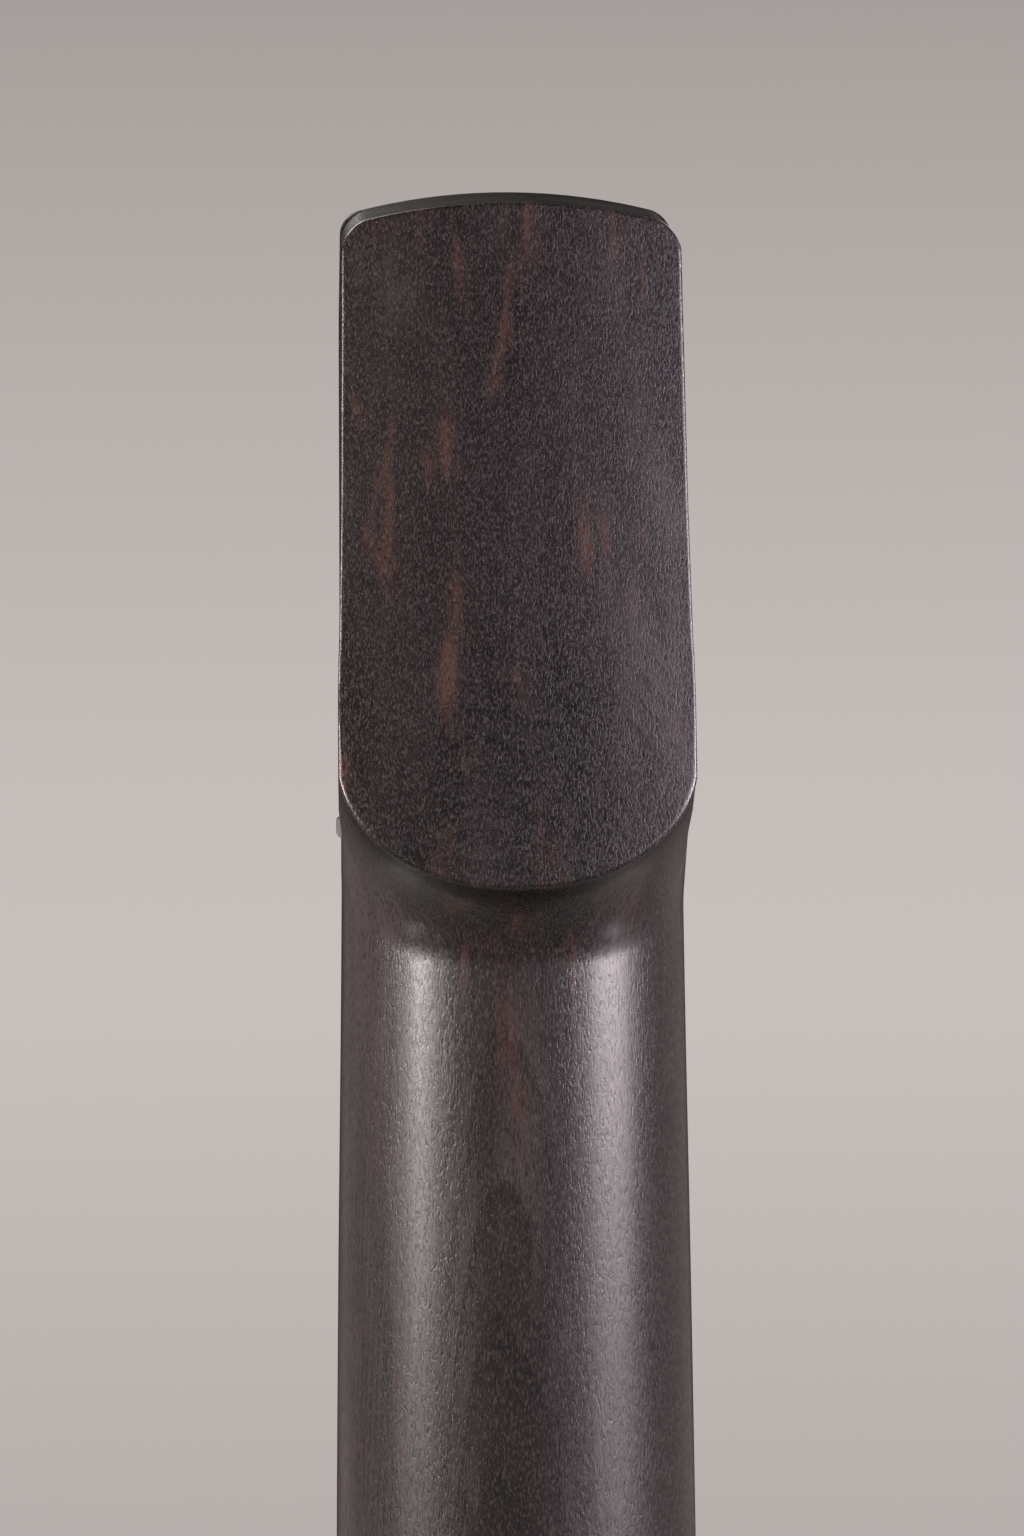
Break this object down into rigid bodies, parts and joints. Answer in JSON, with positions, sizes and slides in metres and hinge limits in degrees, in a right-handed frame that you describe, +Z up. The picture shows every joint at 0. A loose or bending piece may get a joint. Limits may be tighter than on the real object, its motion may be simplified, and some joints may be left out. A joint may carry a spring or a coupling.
{
  "type": "shamisen",
  "caption": "Shamisen, a fretless long-necked lute: dark satin neck with a flat-backed head and chin, square skin-covered body, strings on flush tuning pegs.",
  "frame": {"origin": "centre of the body's flat back, on the back skin", "axes": "+Z up along the neck to the head, +Y out of the back, -Y to the playing side"},
  "size_m": [0.1846, 0.1031, 0.8811],
  "materials": {
    "neck_wood": "satin",
    "plate_wood": "satin",
    "body_wood": "gloss",
    "skin": "matte",
    "metal": "polished",
    "peg_metal": "satin",
    "brass": "satin",
    "silk": "satin",
    "cord_silk": "matte",
    "brocade": "matte",
    "bone": "satin"
  },
  "bodies": {
    "instrument": {"head_and_upper_neck": "neck_wood", "neck_middle": "neck_wood", "neck_lower_with_tang": "neck_wood", "head_face_plate": "plate_wood", "nut_bar": "metal", "body_panel_top": "body_wood", "body_panel_bottom": "body_wood", "body_panel_left": "body_wood", "body_panel_right": "body_wood", "skin_back": "skin", "skin_front": "skin", "plectrum_patch": "skin", "bridge": "bone", "tail_cord": "cord_silk", "arm_cover": "brocade", "peg_bushings": "brass", "string_low": "silk", "string_middle": "silk", "string_high": "silk"},
    "peg_low": {"tuning_peg_low": "peg_metal", "string_winding_low": "silk"},
    "peg_high": {"tuning_peg_high": "peg_metal", "string_winding_high": "silk"},
    "peg_middle": {"tuning_peg_middle": "peg_metal", "string_winding_middle": "silk"}
  },
  "joints": [
    {"name": "turn_peg_low", "type": "hinge", "parent": "instrument", "child": "peg_low", "pos_m": [0, -0.0875, 0.735], "axis": [1, 0, 0], "continuous": true},
    {"name": "turn_peg_high", "type": "hinge", "parent": "instrument", "child": "peg_high", "pos_m": [0, -0.0875, 0.748], "axis": [1, 0, 0], "continuous": true},
    {"name": "turn_peg_middle", "type": "hinge", "parent": "instrument", "child": "peg_middle", "pos_m": [0, -0.0875, 0.761], "axis": [1, 0, 0], "continuous": true}
  ]
}
